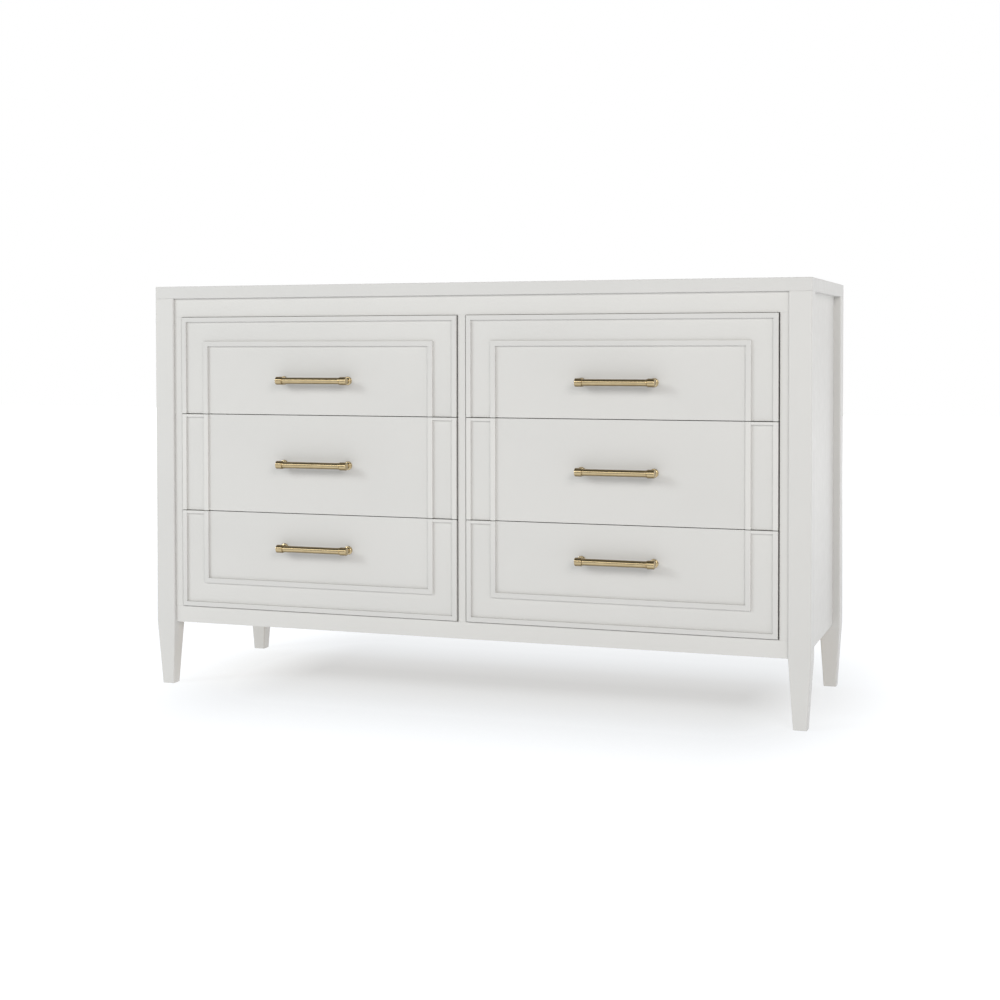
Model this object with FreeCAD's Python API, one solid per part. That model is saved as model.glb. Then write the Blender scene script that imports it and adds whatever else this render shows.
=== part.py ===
import FreeCAD, Part
import os
from FreeCAD import Vector

# Six-drawer dresser: a painted hardwood frame on four tapered posts, with two columns of three
# inset drawers on ball-bearing slides. Millimetres. +X is the dresser's right as seen from the
# front, -Y is its front, +Z is up. The origin is at floor level, under the middle of the whole
# dresser with its pulls.

# ---- Driving dimensions ------------------------------------------------------------------------
width = 1408.0                 # over the posts
depth = 485.0                  # over the posts
height = 864.0                 # floor to top

top_thickness = 26.0
post_size = 44.0               # square section of a post
foot_height = 137.0            # floor to the underside of the rails, where the posts taper
foot_size = 27.0               # square section of a post at the floor
corner_round = 3.0             # radius on the upright edges of the posts and the top

frame_setback = 6.0            # face frame behind the fronts of the posts
frame_thickness = 20.0         # face frame and drawer fronts, front to back
top_rail_height = 40.0
bottom_rail_height = 35.0
side_stile_width = 17.0
centre_stile_width = 16.0      # centre stile, and the partition behind it

side_setback = 15.0            # side panels behind the outer faces of the posts
side_thickness = 18.0
back_setback = 8.0             # back panel in from the backs of the posts
back_thickness = 6.0
back_rail_thickness = 20.0
back_rail_height = 60.0
bottom_thickness = 12.0
cleat_height = 60.0            # battens that carry the slides beside the posts

side_reveal = 2.5              # gap beside each drawer front
reveal = 1.5                   # gap below and between the fronts
top_reveal = 0.8               # gap above the top fronts
bead_width = 10.0              # outer moulding, round each column of three fronts
strip_width = 10.5             # inner moulding
strip_inset = 52.0             # edge of the column of fronts to the inner moulding
short_bead_height = 6.0        # short mouldings on the top edges of the lower fronts
moulding_height = 4.5          # mouldings proud of the fronts

slide_height = 45.0
slide_thickness = 12.7         # one slide, cabinet face to drawer side
slide_step = 50.0              # slides are made in lengths of this step
slide_room = 20.0              # least room behind a slide
slide_sheet = 1.2              # sheet thickness of a slide's channels
slide_lip = 10.0               # flanges of the cabinet member
slide_web_gap = 1.0            # cabinet member's web to the middle member's web
slide_ball_gap = 1.9           # running gap between the flanges of nested channels
slide_lap = 6.0                # flanges of the drawer member inside the middle member

box_side_thickness = 12.0
box_end_thickness = 14.0       # sub-front and back of a drawer box
box_lift = 20.0                # bottom edge of the front to the bottom edge of the box
box_headroom = 35.0            # top edge of the box to the top edge of the front
box_bottom_thickness = 6.0
box_bottom_lift = 12.0         # bottom edge of the box to the underside of its bottom
groove_depth = 6.0
groove_clearance = 0.25        # bottom panel in its grooves, each way

pull_spacing = 144.0           # between the axes of a pull's two posts
pull_projection = 32.0         # front face of a drawer to the front of its pull
pull_collar_diameter = 17.0
pull_collar_length = 15.0      # each post stands at the middle of a collar
pull_chamfer = 1.5             # on the ends of the collars
pull_neck_diameter = 12.4
pull_neck_length = 1.4
pull_ring_diameter = 14.8
pull_ring_length = 2.2
pull_bar_diameter = 13.6
pull_post_diameter = 9.5
pull_post_seat = 4.0           # depth of the post's end in the collar
pull_base_diameter = 18.0
pull_base_height = 2.0
pull_flare_height = 4.0
pull_fit = 0.05                # radial clearance of the post in the collar

screw_diameter = 4.0
screw_head_diameter = 9.0
screw_head_height = 2.5
screw_grip = 14.0              # thread inside the pull's post
screw_clearance = 0.25         # radial, in wood and in the post
screw_end_gap = 1.0            # between the screw's tip and the end of its hole

columns = ["left", "right"]
rows = ["bottom", "middle", "top"]

# ---- Levels and places that follow from them ---------------------------------------------------
pull_overhang = pull_projection - frame_setback
back_y = (depth + pull_overhang) / 2
front_y = back_y - depth
side_x = width / 2
post_inner_x = side_x - post_size
post_back_y = front_y + post_size
rear_post_y = back_y - post_size

frame_y = front_y + frame_setback
frame_back_y = frame_y + frame_thickness
back_panel_y = back_y - back_setback - back_thickness
back_rail_y = back_panel_y - back_rail_thickness

top_z = height - top_thickness
opening_z = foot_height + bottom_rail_height
opening_top_z = top_z - top_rail_height
opening_inner_x = centre_stile_width / 2
opening_outer_x = post_inner_x - side_stile_width
opening_width = opening_outer_x - opening_inner_x

front_width = opening_width - 2 * side_reveal
front_height = (opening_top_z - opening_z - len(rows) * reveal - top_reveal) / len(rows)
strip_edge = strip_inset + strip_width

slide_space = back_rail_y - frame_back_y - slide_room
slide_length = slide_step * (slide_space // slide_step)
box_width = opening_width - 2 * slide_thickness
box_height = front_height - box_lift - box_headroom
box_back_y = frame_back_y + slide_length

pull_axis_y = frame_y - pull_projection + pull_collar_diameter / 2
pull_post_x = pull_spacing / 2
pull_end = pull_post_x + pull_collar_length / 2
pull_post_end_y = pull_axis_y + pull_collar_diameter / 2 - pull_post_seat


# ---- Shapes ------------------------------------------------------------------------------------
def block(x0, x1, y0, y1, z0, z1):
    """Rectangular piece between two corners."""
    return Part.makeBox(x1 - x0, y1 - y0, z1 - z0, Vector(x0, y0, z0))


def rounded_outline(x0, x1, y0, y1, z, radius):
    """Level rectangle with round corners, as a closed wire."""
    middle = radius * (1 - 0.5 ** 0.5)
    corners = [(x0, y0, 1, 1), (x1, y0, -1, 1), (x1, y1, -1, -1), (x0, y1, 1, -1)]
    arcs = []
    for number, (x, y, inward_x, inward_y) in enumerate(corners):
        along_y = Vector(x, y + inward_y * radius, z)
        along_x = Vector(x + inward_x * radius, y, z)
        bulge = Vector(x + inward_x * middle, y + inward_y * middle, z)
        ends = (along_y, along_x) if number % 2 == 0 else (along_x, along_y)
        arcs.append((ends[0], bulge, ends[1]))
    edges = []
    for number, (start, bulge, end) in enumerate(arcs):
        following = arcs[(number + 1) % len(arcs)][0]
        edges.append(Part.Arc(start, bulge, end).toShape())
        edges.append(Part.LineSegment(end, following).toShape())
    return Part.Wire(edges)


def turned(half_profile, place, axis):
    """Solid of revolution. half_profile lists (distance along the axis, radius)."""
    across = Vector(0, 0, 1)
    points = [place + axis * along + across * radius for along, radius in half_profile]
    face = Part.Face(Part.makePolygon(points + [points[0]]))
    return face.revolve(place, axis, 360)


def rod(diameter, place, axis, length):
    """Cylinder that starts at place and runs along axis."""
    return Part.makeCylinder(diameter / 2, length, place, axis)


def save(node, shapes):
    """Write one node, made of one solid or of several separate ones."""
    shape = shapes[0] if len(shapes) == 1 else Part.makeCompound(shapes)
    shape.exportStep("parts/" + node + ".step")


# ---- Carcass -----------------------------------------------------------------------------------
def top_panel():
    outline = rounded_outline(-side_x, side_x, front_y, back_y, top_z, corner_round)
    return Part.Face(outline).extrude(Vector(0, 0, top_thickness))


def post(x0, y0):
    """Square post whose foot tapers evenly on all four sides. x0, y0 is its lowest corner."""
    taper = (post_size - foot_size) / 2
    square = (x0, x0 + post_size, y0, y0 + post_size)
    foot_square = (square[0] + taper, square[1] - taper, square[2] + taper, square[3] - taper)
    foot_outline = rounded_outline(*foot_square, 0, corner_round)
    shaft_outline = rounded_outline(*square, foot_height, corner_round)
    shaft = Part.Face(shaft_outline).extrude(Vector(0, 0, top_z - foot_height))
    foot = Part.makeLoft([foot_outline, shaft_outline], True, True)
    return shaft.fuse(foot).removeSplitter()


def front_rail(z0, z1):
    return block(-post_inner_x, post_inner_x, frame_y, frame_back_y, z0, z1)


def stile(x0, x1):
    return block(x0, x1, frame_y, frame_back_y, opening_z, opening_top_z)


def side_panel(outer_x, inner_x):
    low, high = sorted([outer_x, inner_x])
    return block(low, high, post_back_y, rear_post_y, foot_height, top_z)


def back_panel():
    y1 = back_panel_y + back_thickness
    return block(-post_inner_x, post_inner_x, back_panel_y, y1, foot_height, top_z)


def back_rail(z0):
    z1 = z0 + back_rail_height
    return block(-post_inner_x, post_inner_x, back_rail_y, back_panel_y, z0, z1)


def centre_partition():
    half = centre_stile_width / 2
    return block(-half, half, frame_back_y, back_rail_y, opening_z, top_z)


def bottom_panel():
    """Panel between the rails and the side panels, notched round the four posts."""
    edge_x = side_x - side_setback - side_thickness
    z0 = opening_z - bottom_thickness
    panel = block(-edge_x, edge_x, frame_back_y, back_rail_y, z0, opening_z)
    for side in (-1, 1):
        x0, x1 = sorted([side * edge_x, side * post_inner_x])
        panel = panel.cut(block(x0, x1, frame_back_y, post_back_y, z0, opening_z))
        panel = panel.cut(block(x0, x1, rear_post_y, back_rail_y, z0, opening_z))
    return panel


def cleat(side, z):
    """Batten between the posts, flush with the edge of the opening. z is its middle."""
    x0, x1 = sorted([side * opening_outer_x, side * post_inner_x])
    return block(x0, x1, frame_back_y, back_rail_y, z - cleat_height / 2, z + cleat_height / 2)


# ---- Slides ------------------------------------------------------------------------------------
def channel(face_x, inward, web, flange_end, half_height, z):
    """C-section of sheet along a slide. web and flange_end are distances from the cabinet
    face at face_x, measured along inward, and the web's sheet starts at web."""
    reach = flange_end - web
    sheet = slide_sheet if reach > 0 else -slide_sheet
    y1 = frame_back_y + slide_length

    def strip(start, end, z0, z1):
        x0, x1 = sorted([face_x + inward * start, face_x + inward * end])
        return block(x0, x1, frame_back_y, y1, z0, z1)

    pieces = strip(web, web + sheet, z - half_height, z + half_height)
    pieces = pieces.fuse(strip(web, flange_end, z + half_height - slide_sheet, z + half_height))
    pieces = pieces.fuse(strip(web, flange_end, z - half_height, z - half_height + slide_sheet))
    return pieces.removeSplitter()


def cabinet_member(face_x, inward, z):
    return channel(face_x, inward, 0, slide_lip, slide_height / 2, z)


def middle_member(face_x, inward, z):
    web = slide_sheet + slide_web_gap
    half_height = slide_height / 2 - slide_sheet - slide_ball_gap
    return channel(face_x, inward, web, web + slide_lip - slide_sheet, half_height, z)


def drawer_member(face_x, inward, z):
    half_height = slide_height / 2 - 2 * (slide_sheet + slide_ball_gap)
    return channel(face_x, inward, slide_thickness, slide_thickness - slide_lap, half_height, z)


# ---- Drawers -----------------------------------------------------------------------------------
def pull_level(row):
    """Height of a pull above its front's bottom edge: the middle of the plain field."""
    low = strip_edge if row == "bottom" else 0
    high = front_height - strip_edge if row == "top" else front_height
    return (low + high) / 2


def screw_holes(x, z, y0, y1):
    """Drillings for the two screws of a pull, between two planes."""
    diameter = screw_diameter + 2 * screw_clearance
    places = [Vector(x + side * pull_post_x, y0, z) for side in (-1, 1)]
    holes = [rod(diameter, place, Vector(0, 1, 0), y1 - y0) for place in places]
    return Part.makeCompound(holes)


def drawer_front(x, z0, pull_z):
    half = front_width / 2
    panel = block(x - half, x + half, frame_y, frame_back_y, z0, z0 + front_height)
    return panel.cut(screw_holes(x, pull_z, frame_y, frame_back_y))


def mouldings(x, z0, row):
    """Flat mouldings on one front: the outer bead and the inner strip that run round the whole
    column, and the short beads across the margins where two fronts meet."""
    half = front_width / 2
    z1 = z0 + front_height
    y0 = frame_y - moulding_height
    pieces = []

    def piece(x0, x1, low, high):
        pieces.append(block(x + x0, x + x1, y0, frame_y, low, high))

    bead_low, bead_high = z0, z1
    strip_low, strip_high = z0, z1
    if row == "top":
        bead_high = z1 - bead_width
        strip_high = z1 - strip_edge
        piece(-half, half, bead_high, z1)
        piece(-half + strip_inset, half - strip_inset, strip_high, z1 - strip_inset)
    if row == "bottom":
        bead_low = z0 + bead_width
        strip_low = z0 + strip_edge
        piece(-half, half, z0, bead_low)
        piece(-half + strip_inset, half - strip_inset, z0 + strip_inset, strip_low)
    for side in (-1, 1):
        bead = sorted([side * half, side * (half - bead_width)])
        strip = sorted([side * (half - strip_inset), side * (half - strip_edge)])
        piece(*bead, bead_low, bead_high)
        piece(*strip, strip_low, strip_high)
        if row != "top":
            margin = sorted([side * (half - bead_width), side * (half - strip_inset)])
            piece(*margin, z1 - short_bead_height, z1)
    return pieces


def box_bottom_cutter(x, z, clearance):
    """Space that the bottom of a drawer box fills, with its edges in the grooves."""
    half = box_width / 2 - box_side_thickness + groove_depth
    y0 = frame_back_y + box_end_thickness - groove_depth
    y1 = box_back_y - box_end_thickness + groove_depth
    z0 = z + box_bottom_lift
    z1 = z0 + box_bottom_thickness
    return block(x - half - clearance, x + half + clearance, y0 - clearance, y1 + clearance,
                 z0 - clearance, z1 + clearance)


def drawer_box(x, z, pull_z):
    """Two sides, sub-front and back, grooved for the bottom. z is the box's bottom edge."""
    half = box_width / 2
    inner = half - box_side_thickness
    z1 = z + box_height
    groove = box_bottom_cutter(x, z, groove_clearance)
    sub_front_y = frame_back_y + box_end_thickness
    left = block(x - half, x - inner, frame_back_y, box_back_y, z, z1)
    right = block(x + inner, x + half, frame_back_y, box_back_y, z, z1)
    sub_front = block(x - inner, x + inner, frame_back_y, sub_front_y, z, z1)
    sub_front = sub_front.cut(screw_holes(x, pull_z, frame_back_y, sub_front_y))
    back = block(x - inner, x + inner, box_back_y - box_end_thickness, box_back_y, z, z1)
    return [board.cut(groove) for board in (left, right, sub_front, back)]


def pull_bar(x, z):
    """Turned bar with a chamfered collar, a neck and a ring at each end."""
    collar = pull_end - pull_collar_length
    ring = collar - pull_neck_length
    bar = ring - pull_ring_length
    half_profile = [
        (pull_end, 0), (pull_end, pull_collar_diameter / 2 - pull_chamfer),
        (pull_end - pull_chamfer, pull_collar_diameter / 2), (collar, pull_collar_diameter / 2),
        (collar, pull_neck_diameter / 2), (ring, pull_neck_diameter / 2),
        (ring, pull_ring_diameter / 2), (bar, pull_ring_diameter / 2),
        (bar, pull_bar_diameter / 2),
    ]
    mirrored = [(-along, radius) for along, radius in reversed(half_profile)]
    solid = turned(half_profile + mirrored, Vector(x, pull_axis_y, z), Vector(1, 0, 0))
    for side in (-1, 1):
        seat = Vector(x + side * pull_post_x, pull_post_end_y, z)
        solid = solid.cut(rod(pull_post_diameter + 2 * pull_fit, seat, Vector(0, 1, 0),
                              pull_collar_diameter))
    return solid


def pull_post(x, z):
    """Round post with a flared base on the drawer front, tapped for its screw."""
    length = frame_y - pull_post_end_y
    flare = length - pull_base_height
    half_profile = [
        (0, 0), (0, pull_post_diameter / 2), (flare - pull_flare_height, pull_post_diameter / 2),
        (flare, pull_base_diameter / 2), (length, pull_base_diameter / 2), (length, 0),
    ]
    solid = turned(half_profile, Vector(x, pull_post_end_y, z), Vector(0, 1, 0))
    depth_of_hole = screw_grip + screw_end_gap
    mouth = Vector(x, frame_y - depth_of_hole, z)
    return solid.cut(rod(screw_diameter + 2 * screw_clearance, mouth, Vector(0, 1, 0), length))


def pull_screw(x, z):
    """Screw from inside the drawer box, through both boards and into the pull's post."""
    head_y = frame_back_y + box_end_thickness
    tip_y = frame_y - screw_grip
    shank = rod(screw_diameter, Vector(x, tip_y, z), Vector(0, 1, 0), head_y - tip_y)
    head = rod(screw_head_diameter, Vector(x, head_y, z), Vector(0, 1, 0), screw_head_height)
    return shank.fuse(head).removeSplitter()


def pull(x, z):
    pieces = [pull_bar(x, z)]
    for side in (-1, 1):
        pieces.append(pull_post(x + side * pull_post_x, z))
        pieces.append(pull_screw(x + side * pull_post_x, z))
    return pieces


# ---- Places of the drawers ---------------------------------------------------------------------
def column_side(column):
    return -1 if column == "left" else 1


def column_x(column):
    """Middle of a column of drawers."""
    return column_side(column) * (opening_inner_x + opening_outer_x) / 2


def row_z(row):
    """Bottom edge of a row of fronts."""
    return opening_z + reveal + rows.index(row) * (front_height + reveal)


def slide_z(row):
    """Middle height of a row's slides: half-way up the drawer box."""
    return row_z(row) + box_lift + box_height / 2


def slide_faces(column):
    """The two faces that carry a column's slides, each with the direction to the drawer."""
    side = column_side(column)
    return [(side * opening_outer_x, -side), (side * opening_inner_x, side)]


def slide_pair(member, column, row):
    return [member(face_x, inward, slide_z(row)) for face_x, inward in slide_faces(column)]


# ---- The nodes ---------------------------------------------------------------------------------
def write_carcass():
    save("top_panel", [top_panel()])
    save("post_front_left", [post(-side_x, front_y)])
    save("post_front_right", [post(post_inner_x, front_y)])
    save("post_back_left", [post(-side_x, rear_post_y)])
    save("post_back_right", [post(post_inner_x, rear_post_y)])
    save("rail_front_top", [front_rail(opening_top_z, top_z)])
    save("rail_front_bottom", [front_rail(foot_height, opening_z)])
    save("stile_left", [stile(-post_inner_x, -opening_outer_x)])
    save("stile_right", [stile(opening_outer_x, post_inner_x)])
    save("stile_centre", [stile(-opening_inner_x, opening_inner_x)])
    outer_x = side_x - side_setback
    save("side_panel_left", [side_panel(-outer_x, -outer_x + side_thickness)])
    save("side_panel_right", [side_panel(outer_x, outer_x - side_thickness)])
    save("back_panel", [back_panel()])
    save("back_rails", [back_rail(foot_height), back_rail(top_z - back_rail_height)])
    save("centre_partition", [centre_partition()])
    save("bottom_panel", [bottom_panel()])
    save("slide_cleats", [cleat(side, slide_z(row)) for side in (-1, 1) for row in rows])
    members = [slide_pair(cabinet_member, column, row) for column in columns for row in rows]
    save("slide_cabinet_members", [member for pair in members for member in pair])


def write_drawer(column, row):
    place = column + "_" + row
    x = column_x(column)
    z0 = row_z(row)
    pull_z = z0 + pull_level(row)
    box_z = z0 + box_lift
    save("drawer_" + place + "_front", [drawer_front(x, z0, pull_z)])
    save("drawer_" + place + "_mouldings", mouldings(x, z0, row))
    save("drawer_" + place + "_box", drawer_box(x, box_z, pull_z))
    save("drawer_" + place + "_bottom", [box_bottom_cutter(x, box_z, 0)])
    save("drawer_" + place + "_pull", pull(x, pull_z))
    save("drawer_" + place + "_slide_members", slide_pair(drawer_member, column, row))
    save("slide_" + place + "_middle_members", slide_pair(middle_member, column, row))


os.makedirs("parts", exist_ok=True)
write_carcass()
for column in columns:
    for row in rows:
        write_drawer(column, row)
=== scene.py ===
import math

import bmesh
import bpy
from mathutils import Matrix, Vector


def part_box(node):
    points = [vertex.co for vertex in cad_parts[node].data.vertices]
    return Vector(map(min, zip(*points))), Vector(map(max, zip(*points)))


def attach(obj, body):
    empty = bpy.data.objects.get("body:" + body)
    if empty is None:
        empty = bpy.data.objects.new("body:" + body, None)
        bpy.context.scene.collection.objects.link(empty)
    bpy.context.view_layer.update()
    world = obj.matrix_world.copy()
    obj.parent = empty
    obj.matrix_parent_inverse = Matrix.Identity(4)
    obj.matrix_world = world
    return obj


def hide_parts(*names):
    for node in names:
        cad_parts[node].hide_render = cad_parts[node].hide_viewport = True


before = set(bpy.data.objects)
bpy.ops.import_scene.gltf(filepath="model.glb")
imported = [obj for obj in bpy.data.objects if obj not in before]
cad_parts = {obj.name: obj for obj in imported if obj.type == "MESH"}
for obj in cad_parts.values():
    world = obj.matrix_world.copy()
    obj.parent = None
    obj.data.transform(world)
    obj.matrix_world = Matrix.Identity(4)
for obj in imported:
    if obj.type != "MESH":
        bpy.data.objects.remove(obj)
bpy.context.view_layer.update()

# The looks of a six-drawer dresser in satin off-white paint with brass bar pulls. Metres, in the
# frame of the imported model: +X is the dresser's right, -Y its front, +Z up, the floor at zero.

MM = 0.001
FLAT = 0.1 * MM                # points this near to a plane lie on it
COLUMNS = ("left", "right")
ROWS = ("bottom", "middle", "top")

# ---- Sizes of the finish and of small details ----------------------------------------------------
ARRIS = 0.6 * MM               # easing on the upper ends of the posts and under the top
TOP_ARRIS = 1.4 * MM           # easing round the upper edge of the top
BOARD_ARRIS = 0.3 * MM         # easing on the fronts and the other painted boards
BOARD_CORNER = 1.4 * BOARD_ARRIS
FRONT_CORNER = 0.5 * MM        # round corners of a drawer front, seen from the front
CORNER_ROUND = 3.0 * MM        # upright edges of the posts and the top
SOLE_EASE = 0.8 * MM           # easing under the feet
MOULDING_ROUND = 0.8 * MM      # outer edges of the applied mouldings
CURVE_STEP = 0.5 * MM          # of a board's corner radius, for each facet round it
POST_CORNER_FACETS = 6         # round an upright edge of a post
PULL_BAR_FACETS = 48           # round the bar of a pull, and so on
PULL_POST_FACETS = 36
SCREW_FACETS = 24

BEAD_WIDTH = 10.0 * MM
STRIP_WIDTH = 10.5 * MM
STRIP_INSET = 52.0 * MM
SHORT_BEAD_HEIGHT = 6.0 * MM

PULL_COLLAR_LENGTH = 15.0 * MM
PULL_COLLAR_RADIUS = 8.5 * MM
PULL_BAR_RADIUS = 6.8 * MM
PULL_RING_RADIUS = 7.4 * MM
PULL_NECK_RADIUS = 6.2 * MM
PULL_POST_RADIUS = 4.75 * MM
PULL_BASE_RADIUS = 9.0 * MM

BOX_SIDE = 12.0 * MM           # thickness of a drawer box's sides
BOX_END = 14.0 * MM            # thickness of its sub-front and back
BOX_ARRIS = 0.2 * MM           # easing at the ends of those two boards
BOX_CORNER = 1.2 * MM          # round edges that run along them
TAILS = 4                      # dovetails at each corner
TAIL_SLOPE = 1 / 6
PIN_SHARE = 0.28               # of the pitch of the dovetails, taken by the pin at its end

BACK_SCREW = (3.6 * MM, 1.8 * MM)      # radius and height of a screw's head
PULL_SCREW = (4.5 * MM, 2.5 * MM)
SLIDE_SCREW = (4.0 * MM, 1.6 * MM)
BACK_SCREW_MARGIN = 12 * MM    # from the edges of the back panel
BACK_SCREWS_ACROSS = 9
BACK_SCREWS_UPRIGHT = 5
SLIDE_SCREW_PLACES = (0.09, 0.5, 0.91)     # shares of the length of a slide member
SLIDE_SHEET = 1.2 * MM         # thickness of a slide's steel


# ---- Shells: closed skins given as (points, faces) ----------------------------------------------
def placed(u, v, w, axis):
    """Point whose w lies along the axis, and u and v along the other two in order."""
    if axis == "x":
        return Vector((w, u, v))
    if axis == "y":
        return Vector((u, w, v))
    return Vector((u, v, w))


def loft(rings):
    """Skin over rings of equal length, closed by a face at each end."""
    count = len(rings[0])
    points = [point for ring in rings for point in ring]
    faces = [tuple(range(count)), tuple(range(len(points) - count, len(points)))]
    for level in range(len(rings) - 1):
        for step in range(count):
            near = level * count + step
            far = level * count + (step + 1) % count
            faces.append((near, far, far + count, near + count))
    return points, faces


def round_rectangle(u0, u1, v0, v1, radius, steps):
    """Outline of a rectangle with round corners, as pairs."""
    centres = ((u1 - radius, v1 - radius), (u0 + radius, v1 - radius),
               (u0 + radius, v0 + radius), (u1 - radius, v0 + radius))
    outline = []
    for quarter, (centre_u, centre_v) in enumerate(centres):
        for step in range(steps + 1):
            angle = math.pi / 2 * (quarter + step / steps)
            outline.append((centre_u + radius * math.cos(angle),
                            centre_v + radius * math.sin(angle)))
    return outline


def slab(low, high, axis, ease, corner, ease_low=None, steps=2):
    """Board with every edge eased. corner rounds the edges that run along the axis, ease the
    edges at the far end, and ease_low those at the near end where it differs."""
    ease_low = ease if ease_low is None else ease_low
    order = {"x": (1, 2, 0), "y": (0, 2, 1), "z": (0, 1, 2)}[axis]
    u0, v0, w0 = (low[index] for index in order)
    u1, v1, w1 = (high[index] for index in order)
    levels = []
    for step in range(steps + 1):
        angle = math.pi / 2 * step / steps
        levels.append((w0 + ease_low * (1 - math.cos(angle)), ease_low * (1 - math.sin(angle))))
    for step in range(steps + 1):
        angle = math.pi / 2 * (1 - step / steps)
        levels.append((w1 - ease * (1 - math.cos(angle)), ease * (1 - math.sin(angle))))
    around = max(2, round(corner / CURVE_STEP))
    rings = []
    for w, inset in levels:
        outline = round_rectangle(u0 + inset, u1 - inset, v0 + inset, v1 - inset,
                                  corner - inset, around)
        rings.append([placed(u, v, w, axis) for u, v in outline])
    return loft(rings)


def turned(profile, origin, axis, facets):
    """Skin of revolution. profile lists (distance along the axis, radius), from pole to pole."""
    axis = Vector(axis).normalized()
    side = axis.orthogonal().normalized()
    other = axis.cross(side)
    origin = Vector(origin)
    points = [origin + axis * profile[0][0]]
    for along, radius in profile[1:-1]:
        for step in range(facets):
            angle = 2 * math.pi * step / facets
            spoke = side * math.cos(angle) + other * math.sin(angle)
            points.append(origin + axis * along + spoke * radius)
    points.append(origin + axis * profile[-1][0])
    last = len(points) - 1
    faces = []
    for step in range(facets):
        following = (step + 1) % facets
        faces.append((0, 1 + following, 1 + step))
        faces.append((last, last - facets + step, last - facets + following))
    for level in range(len(profile) - 3):
        start = 1 + level * facets
        for step in range(facets):
            following = (step + 1) % facets
            faces.append((start + step, start + following,
                          start + facets + following, start + facets + step))
    return points, faces


def arc(centre, radius, start, end, steps=6):
    """Points (along, radius) on part of a circle in a profile, angles in degrees."""
    points = []
    for step in range(steps + 1):
        angle = math.radians(start + (end - start) * step / steps)
        points.append((centre[0] + radius * math.cos(angle), centre[1] + radius * math.sin(angle)))
    return points


def prism(outline, start, end):
    """Outline of (y, z) pairs, extruded along x."""
    return loft([[placed(y, z, x, "x") for y, z in outline] for x in (start, end)])


def moulding(start, end, inward, width, face_y, height, mitre_start=False, mitre_end=False):
    """Flat moulding with round edges on a front. start and end are (x, z) on its outer edge, and
    inward points across it. A mitred end slopes inwards at 45 degrees."""
    start, end, inward = Vector(start), Vector(end), Vector(inward)
    run = (end - start).normalized()
    radius = MOULDING_ROUND
    section = [(0, 0)]
    section += arc((radius, height - radius), radius, 180, 90, 4)
    section += arc((width - radius, height - radius), radius, 90, 0, 4)
    section += [(width, 0)]
    rings = []
    for place, along, mitred in ((start, run, mitre_start), (end, -run, mitre_end)):
        ring = []
        for across, proud in section:
            spot = place + inward * across + along * (across if mitred else 0)
            ring.append(Vector((spot.x, face_y - proud, spot.y)))
        rings.append(ring)
    return loft(rings)


# ---- Pieces --------------------------------------------------------------------------------------
def piece(name, shells, body, material, stands_for=(), sharp_angle=40):
    """One object of the dresser, made of closed shells, riding on a body."""
    points, faces = [], []
    for shell_points, shell_faces in shells:
        offset = len(points)
        points += shell_points
        faces += [tuple(index + offset for index in face) for face in shell_faces]
    mesh = bpy.data.meshes.new(name)
    mesh.from_pydata([tuple(point) for point in points], [], faces)
    work = bmesh.new()
    work.from_mesh(mesh)
    bmesh.ops.recalc_face_normals(work, faces=work.faces)
    work.to_mesh(mesh)
    work.free()
    mesh.polygons.foreach_set("use_smooth", [True] * len(mesh.polygons))
    mesh.set_sharp_from_angle(angle=math.radians(sharp_angle))
    mesh.materials.append(material)
    made = bpy.data.objects.new(name, mesh)
    bpy.context.scene.collection.objects.link(made)
    normals = made.modifiers.new("even_normals", "WEIGHTED_NORMAL")
    normals.keep_sharp = True
    normals.weight = 100
    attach(made, body)
    if stands_for:
        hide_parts(*stands_for)


def repaint(node, material):
    """Gives a carried-over CAD node its material."""
    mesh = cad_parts[node].data
    mesh.materials.clear()
    mesh.materials.append(material)


# ---- Materials -----------------------------------------------------------------------------------
COLOUR_INPUTS = (6, 7)         # sockets of a Mix node that are for colours
COLOUR_OUTPUT = 2


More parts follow.
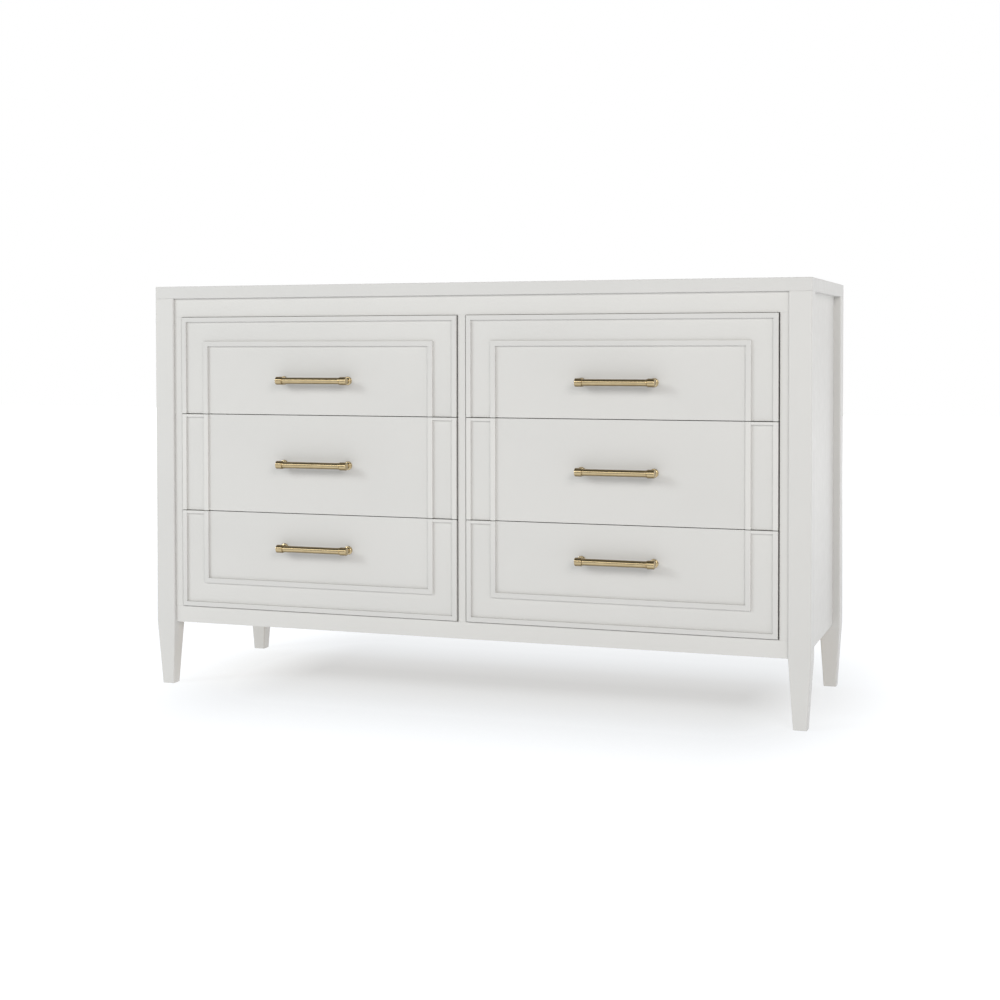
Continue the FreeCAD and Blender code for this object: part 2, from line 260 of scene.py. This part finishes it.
class Surface:
    """A material round one Principled shader, built a node at a time."""

    def __init__(self, name, roughness, metallic=0.0):
        self.material = bpy.data.materials.new(name)
        self.material.use_nodes = True
        self.tree = self.material.node_tree
        self.shader = self.tree.nodes["Principled BSDF"]
        self.shader.inputs["Roughness"].default_value = roughness
        self.shader.inputs["Metallic"].default_value = metallic
        self.place = self.tree.nodes.new("ShaderNodeTexCoord").outputs["Object"]

    def new(self, kind, **inputs):
        """Node with its inputs set or linked by name."""
        made = self.tree.nodes.new(kind)
        for name, value in inputs.items():
            self.feed(made.inputs[name], value)
        return made

    def feed(self, socket, value):
        if isinstance(value, bpy.types.NodeSocket):
            self.tree.links.new(value, socket)
        else:
            socket.default_value = value

    def stretched(self, scale):
        """Object coordinates scaled by axis."""
        return self.new("ShaderNodeMapping", Vector=self.place, Scale=scale).outputs["Vector"]

    def noise(self, scale, detail=3.0, vector=None, distortion=0.0):
        made = self.new("ShaderNodeTexNoise", Vector=vector or self.place, Scale=scale,
                        Detail=detail, Distortion=distortion)
        return made.outputs["Fac"]

    def maths(self, operation, first, second=0.0):
        made = self.tree.nodes.new("ShaderNodeMath")
        made.operation = operation
        self.feed(made.inputs[0], first)
        self.feed(made.inputs[1], second)
        return made.outputs["Value"]

    def vector_maths(self, operation, first, second=(0.0, 0.0, 0.0)):
        made = self.tree.nodes.new("ShaderNodeVectorMath")
        made.operation = operation
        self.feed(made.inputs[0], first)
        self.feed(made.inputs[1], second)
        return made.outputs["Value" if operation == "LENGTH" else "Vector"]

    def axis(self, vector, name):
        """One component of a vector."""
        return self.new("ShaderNodeSeparateXYZ", Vector=vector).outputs[name]

    def ranged(self, value, low, high, from_low=0.3, from_high=0.7):
        """Value brought from one range, unless given the middle of a noise's, to another."""
        made = self.tree.nodes.new("ShaderNodeMapRange")
        self.feed(made.inputs["Value"], value)
        for name, number in (("From Min", from_low), ("From Max", from_high),
                             ("To Min", low), ("To Max", high)):
            made.inputs[name].default_value = number
        return made.outputs["Result"]

    def mixed(self, factor, first, second):
        """First colour at a factor of 0, second at 1."""
        made = self.tree.nodes.new("ShaderNodeMix")
        made.data_type = "RGBA"
        self.feed(made.inputs["Factor"], factor)
        for socket, colour in zip(COLOUR_INPUTS, (first, second)):
            whole = colour if isinstance(colour, bpy.types.NodeSocket) else (*colour, 1.0)
            self.feed(made.inputs[socket], whole)
        return made.outputs[COLOUR_OUTPUT]

    def bump(self, height, strength, distance, under=None):
        made = self.new("ShaderNodeBump", Height=height, Strength=strength, Distance=distance)
        if under is not None:
            self.feed(made.inputs["Normal"], under)
        return made.outputs["Normal"]

    def finish(self, colour, roughness, normal):
        self.feed(self.shader.inputs["Base Color"], colour)
        self.feed(self.shader.inputs["Roughness"], roughness)
        self.feed(self.shader.inputs["Normal"], normal)
        return self.material


def painted(name, light, dark, rubbed):
    """Sprayed satin paint: cloudy by a percent or two, with a fine orange peel, rubbed a little
    paler along the edges."""
    made = Surface(name, roughness=0.42)
    cloud = made.ranged(made.noise(scale=3.5, detail=4.0), low=0.0, high=1.0)
    colour = made.mixed(cloud, light, dark)
    sharpness = made.tree.nodes.new("ShaderNodeNewGeometry").outputs["Pointiness"]
    wear = made.ranged(sharpness, low=0.0, high=0.35, from_low=0.52, from_high=0.62)
    colour = made.mixed(wear, colour, rubbed)
    roughness = made.ranged(made.noise(scale=45.0), low=0.36, high=0.48)
    peel = made.bump(made.noise(scale=520.0, detail=2.0), strength=0.10, distance=0.10 * MM)
    normal = made.bump(made.noise(scale=28.0, detail=2.0), strength=0.10, distance=0.35 * MM,
                       under=peel)
    made.shader.inputs["Coat Weight"].default_value = 0.08
    made.shader.inputs["Coat Roughness"].default_value = 0.3
    return made.finish(colour, roughness, normal)


def timber(name, along, light, dark, pore=0.25):
    """Lacquered timber with its grain along one axis."""
    made = Surface(name, roughness=0.45)
    grain_scale = [1.3 if axis == along else 18.0 for axis in "xyz"]
    pore_scale = [14.0 if axis == along else 420.0 for axis in "xyz"]
    figure = made.noise(scale=1.6, detail=5.0, vector=made.stretched(grain_scale), distortion=1.2)
    fibres = made.noise(scale=1.0, vector=made.stretched(pore_scale))
    colour = made.mixed(made.ranged(figure, low=0.0, high=1.0), light, dark)
    pores = made.ranged(fibres, low=0.0, high=pore, from_low=0.5, from_high=0.75)
    colour = made.mixed(pores, colour, tuple(0.62 * part for part in dark))
    roughness = made.ranged(figure, low=0.40, high=0.55)
    normal = made.bump(fibres, strength=0.25, distance=0.08 * MM)
    return made.finish(colour, roughness, normal)


def brass(name, light, dark, painted_dark_reflection):
    """Aged brass with fine turning marks and faint darker patches of age, painted dark brown on
    faces that look up or down as a painted dark reflection, and bright round the sides."""
    made = Surface(name, roughness=0.2, metallic=1.0)
    facing = made.tree.nodes.new("ShaderNodeTexCoord").outputs["Normal"]
    slope = made.maths("ABSOLUTE", made.axis(facing, "Z"))
    turning = made.noise(scale=1.0, detail=2.0, vector=made.stretched([1500.0, 60.0, 60.0]))
    patches = made.ranged(made.noise(scale=70.0, detail=4.0), low=0.0, high=1.0)
    # Painted dark reflection: faces that look up or down are mixed towards the darkest colour.
    painted_reflection_mask = made.ranged(slope, low=0.0, high=1.0, from_low=0.30, from_high=0.95)
    colour = made.mixed(painted_reflection_mask, made.mixed(patches, light, dark), painted_dark_reflection)
    roughness = made.ranged(turning, low=0.15, high=0.21)
    normal = made.bump(turning, strength=0.04, distance=0.02 * MM)
    return made.finish(colour, roughness, normal)


def zinc(name, colour, roughness_low, roughness_high):
    """Plated steel with faint rolling marks along the slide."""
    made = Surface(name, roughness_low, metallic=1.0)
    marks = made.noise(scale=1.0, vector=made.stretched([900.0, 12.0, 900.0]))
    bloom = made.ranged(made.noise(scale=35.0, detail=4.0), low=0.0, high=1.0)
    tone = made.mixed(bloom, colour, tuple(0.82 * part for part in colour))
    roughness = made.ranged(marks, roughness_low, roughness_high)
    normal = made.bump(marks, strength=0.08, distance=0.04 * MM)
    return made.finish(tone, roughness, normal)


MAPLE = ((0.66, 0.52, 0.35), (0.55, 0.41, 0.26))       # light and dark of the grain
BIRCH = ((0.70, 0.57, 0.40), (0.60, 0.47, 0.31))
POPLAR = ((0.58, 0.47, 0.31), (0.47, 0.37, 0.22))
PLYWOOD_PORE = 0.15

PAINT = painted("off_white_paint", light=(0.598, 0.590, 0.573), dark=(0.578, 0.570, 0.553),
                rubbed=(0.80, 0.78, 0.74))
# The darkest brass colour is a painted dark reflection on faces that look up or down.
BRASS = brass("aged_brass", light=(0.57, 0.46, 0.275), dark=(0.50, 0.395, 0.23),
              painted_dark_reflection=(0.20, 0.145, 0.07))
ZINC = zinc("zinc_plate", (0.66, 0.67, 0.69), roughness_low=0.26, roughness_high=0.42)
SCREW_STEEL = zinc("screw_steel", (0.60, 0.60, 0.58), roughness_low=0.22, roughness_high=0.36)
MAPLE_Y = timber("maple_front_to_back", "y", *MAPLE)
MAPLE_X = timber("maple_side_to_side", "x", *MAPLE)
PLY_X = timber("birch_plywood", "x", *BIRCH, PLYWOOD_PORE)
PLY_Z = timber("birch_plywood_upright", "z", *BIRCH, PLYWOOD_PORE)
POPLAR_Y = timber("poplar_batten", "y", *POPLAR)


# ---- Carcass -------------------------------------------------------------------------------------
def post_shell(node):
    """Square post with round upright edges and a foot that tapers on all four sides."""
    low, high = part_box(node)
    vertices = [vertex.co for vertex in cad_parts[node].data.vertices]
    sole = [point for point in vertices if point.z < low.z + FLAT]
    foot_x = [point.x for point in sole]
    foot_y = [point.y for point in sole]
    foot = (min(foot_x), max(foot_x), min(foot_y), max(foot_y))
    shaft = (low.x, high.x, low.y, high.y)
    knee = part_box("rail_front_bottom")[0].z
    levels = ((low.z, foot, SOLE_EASE), (low.z + SOLE_EASE, foot, 0.0), (knee, shaft, 0.0),
              (high.z - ARRIS, shaft, 0.0), (high.z, shaft, ARRIS))
    rings = []
    for z, (x0, x1, y0, y1), inset in levels:
        outline = round_rectangle(x0 + inset, x1 - inset, y0 + inset, y1 - inset,
                                  CORNER_ROUND - inset, POST_CORNER_FACETS)
        rings.append([Vector((x, y, z)) for x, y in outline])
    return loft(rings)


def screw_head(origin, direction, radius, height):
    """Pan head with a round, flat-bottomed socket, standing on a surface."""
    socket = radius * 0.42
    shoulder = height * 0.55
    profile = [(height * 0.35, 0), (height * 0.35, socket * 0.8), (height * 0.95, socket)]
    profile += arc((height - shoulder, radius - shoulder), shoulder, 0, 90, 5)
    profile += [(0, radius), (0, 0)]
    return turned(profile, origin, direction, SCREW_FACETS)


def make_carcass():
    top_low, top_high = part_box("top_panel")
    top = slab(top_low, top_high, "z", TOP_ARRIS, CORNER_ROUND, ease_low=ARRIS, steps=4)
    piece("top", [top], "carcass", PAINT, ["top_panel"])
    for end in ("front", "back"):
        for side in COLUMNS:
            node = f"post_{end}_{side}"
            piece(f"leg_{end}_{side}", [post_shell(node)], "carcass", PAINT, [node])
    boards = {"rail_front_top": "x", "rail_front_bottom": "x", "stile_left": "z",
              "stile_right": "z", "stile_centre": "z", "side_panel_left": "z",
              "side_panel_right": "z", "back_panel": "z"}
    for node, axis in boards.items():
        board = slab(*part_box(node), axis, BOARD_ARRIS, BOARD_CORNER)
        piece(f"painted_{node}", [board], "carcass", PAINT, [node])
    make_back_fixings()
    repaint("back_rails", POPLAR_Y)
    repaint("slide_cleats", POPLAR_Y)
    repaint("centre_partition", PLY_Z)
    repaint("bottom_panel", PLY_X)
    repaint("slide_cabinet_members", ZINC)


def make_back_fixings():
    """Small screws round the edge of the back panel."""
    low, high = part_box("back_panel")
    left, right = low.x + BACK_SCREW_MARGIN, high.x - BACK_SCREW_MARGIN
    bottom, top = low.z + BACK_SCREW_MARGIN, high.z - BACK_SCREW_MARGIN
    places = []
    for step in range(BACK_SCREWS_ACROSS):
        x = left + (right - left) * step / (BACK_SCREWS_ACROSS - 1)
        places += [(x, bottom), (x, top)]
    for step in range(1, BACK_SCREWS_UPRIGHT - 1):
        z = bottom + (top - bottom) * step / (BACK_SCREWS_UPRIGHT - 1)
        places += [(left, z), (right, z)]
    shells = [screw_head((x, high.y, z), (0, 1, 0), *BACK_SCREW) for x, z in places]
    piece("back_panel_screws", shells, "carcass", SCREW_STEEL)


# ---- Drawers -------------------------------------------------------------------------------------
def make_mouldings(place, row, body):
    """Outer bead and inner strip, mitred at the corners of the column, and the short beads."""
    node = f"drawer_{place}_mouldings"
    low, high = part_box(node)
    face_y, height = high.y, high.y - low.y
    rise = {"top": (low.z, high.z), "bottom": (high.z, low.z)}
    shells = []
    for inset, width in ((0.0, BEAD_WIDTH), (STRIP_INSET, STRIP_WIDTH)):
        left, right = low.x + inset, high.x - inset
        if row == "middle":
            near, far = low.z, high.z
        else:
            near, far = rise[row]
            far += inset if row == "bottom" else -inset
            inward = (0, 1) if row == "bottom" else (0, -1)
            shells.append(moulding((left, far), (right, far), inward, width, face_y, height,
                                   True, True))
        for x, inward in ((left, (1, 0)), (right, (-1, 0))):
            shells.append(moulding((x, near), (x, far), inward, width, face_y, height,
                                   False, row != "middle"))
    if row != "top":
        margins = ((low.x + BEAD_WIDTH, low.x + STRIP_INSET),
                   (high.x - STRIP_INSET, high.x - BEAD_WIDTH))
        for x0, x1 in margins:
            shells.append(moulding((x0, high.z), (x1, high.z), (0, -1), SHORT_BEAD_HEIGHT,
                                   face_y, height))
    piece(f"mouldings_{place}", shells, body, PAINT, [node])


def pull_bar_shell(low, high):
    """Turned bar: at each end a collar with a slightly crowned end, a groove and a ring."""
    centre = Vector(((low.x + high.x) / 2, low.y + PULL_COLLAR_RADIUS, (low.z + high.z) / 2))
    end = (high.x - low.x) / 2
    collar = end - PULL_COLLAR_LENGTH
    crown = 0.5 * MM
    edge = 1.8 * MM
    shoulder = 0.4 * MM
    groove = 0.7 * MM
    ring = 1.1 * MM
    half = [(end, 0), (end - 0.3 * crown, PULL_COLLAR_RADIUS * 0.45)]
    half += arc((end - crown - edge, PULL_COLLAR_RADIUS - edge), edge, 8, 90)
    half += arc((collar + shoulder, PULL_COLLAR_RADIUS - shoulder), shoulder, 90, 180, 3)
    half += arc((collar - groove, PULL_NECK_RADIUS + groove), groove, 0, -180, 5)
    half += arc((collar - 2 * groove - ring, PULL_RING_RADIUS - ring), ring, 0, 180, 6)
    half += [(collar - 2 * groove - 2 * ring, PULL_BAR_RADIUS)]
    mirrored = [(-along, radius) for along, radius in reversed(half)]
    return turned(half + mirrored, centre, (1, 0, 0), PULL_BAR_FACETS)


def pull_post_shell(x, face_y, axis_y, z):
    """Round post from the collar to the front, flaring into its base."""
    reach = face_y - axis_y
    flare = 3.2 * MM
    rim = 0.9 * MM
    base = 2.0 * MM
    profile = [(0, 0), (0, PULL_POST_RADIUS)]
    profile += arc((reach - base - flare, PULL_POST_RADIUS + flare), flare, 270, 360, 7)[:-1]
    profile += [(reach - base, PULL_BASE_RADIUS - rim)]
    profile += arc((reach - base + rim, PULL_BASE_RADIUS - rim), rim, 180, 90, 4)[1:]
    profile += [(reach, PULL_BASE_RADIUS), (reach, 0)]
    return turned(profile, (x, axis_y, z), (0, 1, 0), PULL_POST_FACETS)


def make_pull(place, body):
    """Pull of a turned bar on two posts, and the heads of its screws inside the box."""
    node = f"drawer_{place}_pull"
    low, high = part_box(node)
    front_low, front_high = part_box(f"drawer_{place}_front")
    z = (low.z + high.z) / 2
    axis_y = low.y + PULL_COLLAR_RADIUS
    posts = [low.x + PULL_COLLAR_LENGTH / 2, high.x - PULL_COLLAR_LENGTH / 2]
    shells = [pull_bar_shell(low, high)]
    shells += [pull_post_shell(x, front_low.y, axis_y, z) for x in posts]
    piece(f"pull_{place}", shells, body, BRASS, [node], sharp_angle=30)
    inside_y = front_high.y + BOX_END
    heads = [screw_head((x, inside_y, z), (0, 1, 0), *PULL_SCREW) for x in posts]
    piece(f"pull_screws_{place}", heads, body, SCREW_STEEL)


def tail_levels(z0, z1):
    """Heights of the dovetails at a corner: (low, high) of each at the end of the board."""
    pitch = (z1 - z0) / TAILS
    pin = pitch * PIN_SHARE
    return [(z0 + pitch * number + pin / 2, z0 + pitch * (number + 1) - pin / 2)
            for number in range(TAILS)]


def box_side_outline(y0, y1, z0, z1):
    """A box side seen from its face, with dovetails at both ends."""
    slope = BOX_END * TAIL_SLOPE
    outline = []
    for end_y, root_y, order in ((y0, y0 + BOX_END, 1), (y1, y1 - BOX_END, -1)):
        column = [(root_y, z0)]
        for low, high in tail_levels(z0, z1):
            column += [(root_y, low + slope), (end_y, low), (end_y, high), (root_y, high - slope)]
        column.append((root_y, z1))
        outline += column[::order]
    return outline


def pins(x0, x1, end_y, root_y, z0, z1):
    """The pins of an end board that fill the spaces between the tails of one side."""
    slope = BOX_END * TAIL_SLOPE
    levels = tail_levels(z0, z1)
    spaces = [(None, levels[0][0])]
    spaces += [(levels[number][1], levels[number + 1][0]) for number in range(TAILS - 1)]
    spaces += [(levels[-1][1], None)]
    shells = []
    for low, high in spaces:
        low_end, low_root = (z0, z0) if low is None else (low, low - slope)
        high_end, high_root = (z1, z1) if high is None else (high, high + slope)
        outline = [(end_y, low_end), (root_y, low_root), (root_y, high_root), (end_y, high_end)]
        shells.append(prism(outline, x0, x1))
    return shells


def make_box(place, body):
    """Drawer box of four boards joined with dovetails."""
    node = f"drawer_{place}_box"
    low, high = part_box(node)
    outline = box_side_outline(low.y, high.y, low.z, high.z)
    inner = (low.x + BOX_SIDE, high.x - BOX_SIDE)
    sides = [prism(outline, low.x, inner[0]), prism(outline, inner[1], high.x)]
    piece(f"box_sides_{place}", sides, body, MAPLE_Y, [node])
    ends = []
    for end_y, root_y in ((low.y, low.y + BOX_END), (high.y, high.y - BOX_END)):
        near, far = sorted((end_y, root_y))
        ends.append(slab(Vector((inner[0], near, low.z)), Vector((inner[1], far, high.z)),
                         "x", BOX_ARRIS, BOX_CORNER))
        for x0, x1 in ((low.x, inner[0]), (inner[1], high.x)):
            ends += pins(x0, x1, end_y, root_y, low.z, high.z)
    piece(f"box_ends_{place}", ends, body, MAPLE_X)


def make_slide_screws(place, body):
    """Screws that fix the drawer members of the slides to the sides of the box."""
    node = f"drawer_{place}_slide_members"
    low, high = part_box(node)
    box_low, box_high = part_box(f"drawer_{place}_box")
    z = (low.z + high.z) / 2
    heads = []
    for side_x, outward in ((box_low.x, -1), (box_high.x, 1)):
        for share in SLIDE_SCREW_PLACES:
            spot = (side_x + outward * SLIDE_SHEET, low.y + (high.y - low.y) * share, z)
            heads.append(screw_head(spot, (outward, 0, 0), *SLIDE_SCREW))
    piece(f"slide_screws_{place}", heads, body, SCREW_STEEL)


def make_drawer(column, row):
    place = f"{column}_{row}"
    body = f"drawer_{place}"
    front = slab(*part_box(f"drawer_{place}_front"), "y", BOARD_ARRIS, FRONT_CORNER)
    piece(f"front_{place}", [front], body, PAINT, [f"drawer_{place}_front"])
    make_mouldings(place, row, body)
    make_pull(place, body)
    make_box(place, body)
    make_slide_screws(place, body)
    repaint(f"drawer_{place}_bottom", PLY_X)
    repaint(f"drawer_{place}_slide_members", ZINC)
    repaint(f"slide_{place}_middle_members", ZINC)


# ---- Stage ---------------------------------------------------------------------------------------
FLOOR_HALF = 14.0              # from its middle to its edges
FLOOR_DROP = 0.2 * MM          # below the soles of the feet
# The floor's glow is painted light, and its dark stretch under the dresser is a painted shadow.
SHADE_CENTRE = (0.05, 0.04, 0.0)           # middle of the darkest stretch of the floor
SHADE_HALF_LENGTH = (0.47, 0.0, 0.0)       # of that stretch, which runs along x
SHADE_SCALE = (2.2, 1.0, 0.0)              # the shade ends sooner past its ends than beside it

DIM_OVERHEAD = ("Z", 0.21, 0.60, 0.18)     # axis, where it starts and ends, level left
DIM_IN_FRONT = ("Y", -0.30, -0.85, 0.42)

AIM_HEIGHT = 0.5               # of the point on the dresser that the front lamps face

CAMERA_PLACE = (1.144, -3.436, 0.738)
CAMERA_ANGLES = (20.0, 1.42, -0.12)        # turned left, tipped down and rolled, in degrees
CAMERA_LENS = 60.37            # mm, for the sensor below
CAMERA_SENSOR = 36.0
CAMERA_SHIFT = (0.05, -0.114)
CAMERA_REACH = 100.0


def glowing_paper_painted_shadow():
    """White paper that glows as painted light, with a painted shadow darkest along the middle of
    the dresser, white all round it.
    """
    made = Surface("glowing_paper_painted_shadow", roughness=0.9)
    made.shader.inputs["Base Color"].default_value = (0.19, 0.2, 0.212, 1.0)
    made.shader.inputs["Specular IOR Level"].default_value = 0.1
    made.shader.inputs["Emission Color"].default_value = (0.978, 0.988, 1.0, 1.0)
    offset = made.vector_maths("SUBTRACT", made.place, SHADE_CENTRE)
    offset = made.vector_maths("ABSOLUTE", offset)
    offset = made.vector_maths("SUBTRACT", offset, SHADE_HALF_LENGTH)
    offset = made.vector_maths("MAXIMUM", offset)
    reach = made.vector_maths("LENGTH", made.vector_maths("MULTIPLY", offset, SHADE_SCALE))
    # Painted shadow: the glow is weakest near the middle of the dresser and grows away from it.
    near = made.ranged(reach, low=0.55, high=0.77, from_low=0.03, from_high=0.36)
    around = made.ranged(reach, low=0.0, high=0.17, from_low=0.38, from_high=0.75)
    beyond = made.ranged(reach, low=0.0, high=0.5, from_low=2.0, from_high=6.0)
    front = made.ranged(made.axis(made.place, "Y"), low=0.42, high=1.0,
                        from_low=-3.4, from_high=-1.7)
    glow = made.maths("ADD", made.maths("ADD", near, around), beyond)
    made.feed(made.shader.inputs["Emission Strength"], made.maths("MULTIPLY", glow, front))
    return made.material


def make_floor():
    """Wide sheet of paper just under the feet."""
    mesh = bpy.data.meshes.new("floor")
    corners = [(-FLOOR_HALF, -FLOOR_HALF, 0), (FLOOR_HALF, -FLOOR_HALF, 0),
               (FLOOR_HALF, FLOOR_HALF, 0), (-FLOOR_HALF, FLOOR_HALF, 0)]
    mesh.from_pydata(corners, [], [(0, 1, 2, 3)])
    mesh.materials.append(glowing_paper_painted_shadow())
    floor = bpy.data.objects.new("floor", mesh)
    floor.location = (0, 0, -FLOOR_DROP)
    bpy.context.scene.collection.objects.link(floor)


def make_world():
    """White studio: bright round the horizon, dim overhead, and dimmer in front of the dresser."""
    world = bpy.data.worlds.new("studio")
    bpy.context.scene.world = world
    world.use_nodes = True
    tree = world.node_tree
    direction = tree.nodes.new("ShaderNodeTexCoord").outputs["Generated"]
    parts = tree.nodes.new("ShaderNodeSeparateXYZ")
    tree.links.new(direction, parts.inputs["Vector"])
    both = tree.nodes.new("ShaderNodeMath")
    both.operation = "MULTIPLY"
    for socket, (axis, start, end, least) in zip(both.inputs, (DIM_OVERHEAD, DIM_IN_FRONT)):
        ramp = tree.nodes.new("ShaderNodeMapRange")
        ramp.interpolation_type = "SMOOTHSTEP"
        for name, number in (("From Min", start), ("From Max", end),
                             ("To Min", 1.0), ("To Max", least)):
            ramp.inputs[name].default_value = number
        tree.links.new(parts.outputs[axis], ramp.inputs["Value"])
        tree.links.new(ramp.outputs["Result"], socket)
    background = tree.nodes["Background"]
    background.inputs["Color"].default_value = (1.0, 1.0, 1.0, 1.0)
    tree.links.new(both.outputs["Value"], background.inputs["Strength"])


def softbox(name, place, target, size, power, colour):
    """Rectangular area lamp that faces a point and isn't seen itself."""
    light = bpy.data.lights.new(name, "AREA")
    light.shape = "RECTANGLE"
    light.size, light.size_y = size
    light.energy = power
    light.color = colour
    lamp = bpy.data.objects.new(name, light)
    lamp.location = place
    lamp.rotation_euler = (Vector(target) - Vector(place)).to_track_quat("-Z", "Y").to_euler()
    lamp.visible_camera = False
    bpy.context.scene.collection.objects.link(lamp)


def make_lights():
    softbox("softbox_left", place=(-3.9, -3.6, 2.75), target=(-0.3, -0.2, AIM_HEIGHT),
            size=(1.5, 1.5), power=86.0, colour=(0.93, 0.985, 1.0))
    softbox("softbox_right", place=(2.9, -4.0, 2.5), target=(0.5, -0.2, AIM_HEIGHT),
            size=(2.2, 2.2), power=81.0, colour=(1.0, 0.975, 0.945))
    softbox("strip_front", place=(-1.1, -4.2, 2.7), target=(-0.1, -0.2, AIM_HEIGHT),
            size=(3.4, 1.6), power=34.0, colour=(1.0, 0.99, 0.97))
    softbox("softbox_above", place=(0.0, 0.9, 3.4), target=(0.0, 0.2, 0.0),
            size=(2.6, 1.6), power=22.0, colour=(1.0, 1.0, 1.0))


def make_camera():
    """Camera a little below the top, right of the middle, turned to the left."""
    yaw, pitch, roll = (math.radians(angle) for angle in CAMERA_ANGLES)
    forward = Vector((-math.sin(yaw) * math.cos(pitch), math.cos(yaw) * math.cos(pitch),
                      -math.sin(pitch)))
    level = Vector((math.cos(yaw), math.sin(yaw), 0))
    upright = level.cross(forward)
    right = level * math.cos(roll) + upright * math.sin(roll)
    up = upright * math.cos(roll) - level * math.sin(roll)
    data = bpy.data.cameras.new("camera")
    data.sensor_width = CAMERA_SENSOR
    data.lens = CAMERA_LENS
    data.shift_x, data.shift_y = CAMERA_SHIFT
    data.clip_end = CAMERA_REACH
    camera = bpy.data.objects.new("camera", data)
    axes = Matrix((right, up, -forward)).transposed().to_4x4()
    camera.matrix_world = Matrix.Translation(CAMERA_PLACE) @ axes
    bpy.context.scene.collection.objects.link(camera)
    bpy.context.scene.camera = camera


make_camera()
make_world()
make_lights()
make_floor()
make_carcass()
for column in COLUMNS:
    for row in ROWS:
        make_drawer(column, row)

view = bpy.context.scene.view_settings
view.view_transform = "Standard"
view.look = "None"
